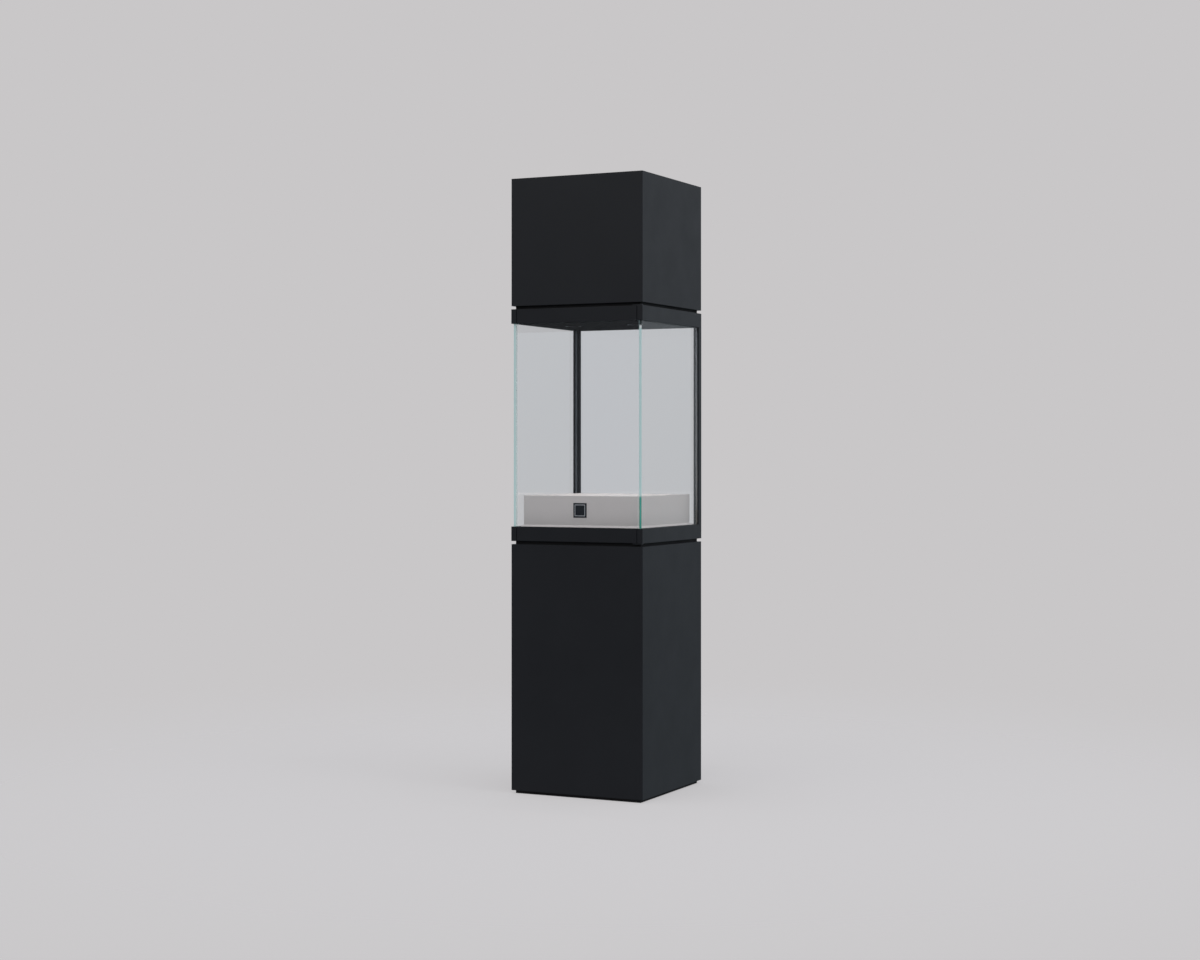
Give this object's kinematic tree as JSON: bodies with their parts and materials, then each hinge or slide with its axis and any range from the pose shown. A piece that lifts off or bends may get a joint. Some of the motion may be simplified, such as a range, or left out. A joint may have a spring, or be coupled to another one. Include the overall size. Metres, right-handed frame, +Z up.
{
  "type": "tower display case",
  "caption": "Tall square museum display case: steel pedestal with service door and drawer, glazed chamber with pivoted front glass door and display riser, closed canopy with lighting gear.",
  "frame": {"origin": "centre of the square footprint on the floor", "axes": "+Z up; -Y towards the glass door (public side); +X to the right seen from the front"},
  "size_m": [0.5, 0.5, 2.124],
  "materials": {
    "charcoal_paint": "satin powder coat, dark charcoal",
    "frame_paint": "satin powder coat, dark charcoal",
    "reveal_black": "matt black spacer board",
    "zinc_steel": "zinc plated steel",
    "frame_alu": "mill aluminium",
    "clear_glass": "polished toughened glass, green edge",
    "gasket_black": "matt black rubber",
    "seal_clear": "translucent silicone",
    "riser_paint": "painted board, warm light grey",
    "deck_paint": "light grey powder coat",
    "ceiling_paint": "dark powder coat",
    "plate_dark": "dark label plate",
    "lock_chrome": "polished lock barrel",
    "bush_brass": "turned brass",
    "spot_black": "black anodised",
    "spot_lens": "clear lens",
    "foot_steel": "zinc plated steel",
    "pull_black": "moulded black plastic",
    "cassette_white": "perforated white cassette skin",
    "driver_white": "moulded housing",
    "inlet_black": "moulded inlet",
    "switch_red": "moulded rocker",
    "lead_grey": "twin core lead"
  },
  "bodies": {
    "case": {"kick_bars": "reveal_black", "base_plate": "frame_paint", "pedestal_frame": "zinc_steel", "pedestal_top_plate": "frame_paint", "pedestal_shell": "charcoal_paint", "rear_pivots": "zinc_steel", "drawer_runners": "zinc_steel", "power_inlet": "inlet_black", "reveal_plates": "reveal_black", "pivot_plates": "frame_paint", "inner_frames": "frame_alu", "deck_panel": "deck_paint", "frame_bolts": "zinc_steel", "side_rails_lower": "frame_paint", "side_rails_upper": "frame_paint", "rear_posts": "frame_paint", "rear_rails": "frame_paint", "side_glass": "clear_glass", "rear_glass": "clear_glass", "glazing_gaskets": "gasket_black", "lock_housings": "lock_chrome", "display_riser": "riser_paint", "riser_plate": "plate_dark", "ceiling_panel": "ceiling_paint", "spot_housings": "spot_black", "canopy_base_plate": "frame_paint", "canopy_shell": "charcoal_paint", "canopy_posts": "zinc_steel", "canopy_lid": "charcoal_paint", "led_driver": "driver_white", "terminal_block": "driver_white", "lamp_lead": "lead_grey", "lead_cover": "frame_paint"},
    "front_door": {"door_rails": "frame_paint", "door_pane": "clear_glass", "door_gaskets": "gasket_black", "door_edge_seals": "seal_clear", "door_bushes": "bush_brass"},
    "upper_lock": {"upper_lock_cylinder": "lock_chrome"},
    "lower_lock": {"lower_lock_cylinder": "lock_chrome"},
    "upper_bolt": {"upper_lock_bolt": "foot_steel"},
    "lower_bolt": {"lower_lock_bolt": "foot_steel"},
    "pedestal_rear_door": {"service_door": "charcoal_paint"},
    "pedestal_door_cam": {"service_cam": "lock_chrome"},
    "canopy_rear_door": {"canopy_door": "charcoal_paint"},
    "canopy_door_cam": {"canopy_cam": "lock_chrome"},
    "climate_drawer": {"drawer_box": "zinc_steel", "drawer_front": "charcoal_paint", "drawer_pull": "pull_black", "drawer_slides": "zinc_steel", "gel_cassette": "cassette_white"},
    "switch_rocker": {"main_switch": "switch_red"},
    "foot_1": {"levelling_foot_1": "foot_steel"},
    "foot_2": {"levelling_foot_2": "foot_steel"},
    "foot_3": {"levelling_foot_3": "foot_steel"},
    "foot_4": {"levelling_foot_4": "foot_steel"},
    "spot_1": {"spot_head_1": "spot_black", "spot_lens_1": "spot_lens"},
    "spot_2": {"spot_head_2": "spot_black", "spot_lens_2": "spot_lens"}
  },
  "joints": [
    {"name": "front_door_hinge", "type": "hinge", "parent": "case", "child": "front_door", "pos_m": [0.22, -0.245, 1.2725], "axis": [0, 0, 1], "range_deg": [0, 105]},
    {"name": "upper_lock_turn", "type": "hinge", "parent": "case", "child": "upper_lock", "pos_m": [-0.245, -0.24, 1.65], "axis": [1, 0, 0], "range_deg": [0, 90]},
    {"name": "upper_bolt_slide", "type": "slide", "parent": "case", "child": "upper_bolt", "axis": [1, 0, 0], "range_m": [0, 0.008]},
    {"name": "lower_lock_turn", "type": "hinge", "parent": "case", "child": "lower_lock", "pos_m": [-0.245, -0.24, 0.897], "axis": [1, 0, 0], "range_deg": [0, 90]},
    {"name": "lower_bolt_slide", "type": "slide", "parent": "case", "child": "lower_bolt", "axis": [1, 0, 0], "range_m": [0, 0.008]},
    {"name": "pedestal_door_hinge", "type": "hinge", "parent": "case", "child": "pedestal_rear_door", "pos_m": [-0.22, 0.245, 0.373], "axis": [0, 0, 1], "range_deg": [0, 110]},
    {"name": "pedestal_cam_turn", "type": "hinge", "parent": "pedestal_rear_door", "child": "pedestal_door_cam", "pos_m": [0.212, 0.245, 0.381], "axis": [0, -1, 0], "range_deg": [0, 90]},
    {"name": "canopy_door_hinge", "type": "hinge", "parent": "case", "child": "canopy_rear_door", "pos_m": [-0.22, 0.245, 1.904], "axis": [0, 0, 1], "range_deg": [0, 110]},
    {"name": "canopy_cam_turn", "type": "hinge", "parent": "canopy_rear_door", "child": "canopy_door_cam", "pos_m": [0.212, 0.245, 1.904], "axis": [0, -1, 0], "range_deg": [0, 90]},
    {"name": "drawer_slide", "type": "slide", "parent": "case", "child": "climate_drawer", "axis": [0, 1, 0], "range_m": [0, 0.25]},
    {"name": "main_switch_rock", "type": "hinge", "parent": "case", "child": "switch_rocker", "pos_m": [0.125, 0.198, 0.055], "axis": [1, 0, 0], "range_deg": [0, 12]},
    {"name": "foot_1_screw", "type": "slide", "parent": "case", "child": "foot_1", "axis": [0, 0, -1], "range_m": [0, 0.012]},
    {"name": "foot_2_screw", "type": "slide", "parent": "case", "child": "foot_2", "axis": [0, 0, -1], "range_m": [0, 0.012]},
    {"name": "foot_3_screw", "type": "slide", "parent": "case", "child": "foot_3", "axis": [0, 0, -1], "range_m": [0, 0.012]},
    {"name": "foot_4_screw", "type": "slide", "parent": "case", "child": "foot_4", "axis": [0, 0, -1], "range_m": [0, 0.012]},
    {"name": "spot_1_tilt", "type": "hinge", "parent": "case", "child": "spot_1", "pos_m": [-0.12, -0.03, 1.648], "axis": [1, 0, 0], "range_deg": [-25, 25]},
    {"name": "spot_2_tilt", "type": "hinge", "parent": "case", "child": "spot_2", "pos_m": [0.12, -0.03, 1.648], "axis": [1, 0, 0], "range_deg": [-25, 25]}
  ],
  "couplings": [
    {"joint": "upper_bolt_slide", "follows": "upper_lock_turn", "m_per_rad": 0.00509},
    {"joint": "lower_bolt_slide", "follows": "lower_lock_turn", "m_per_rad": 0.00509}
  ]
}
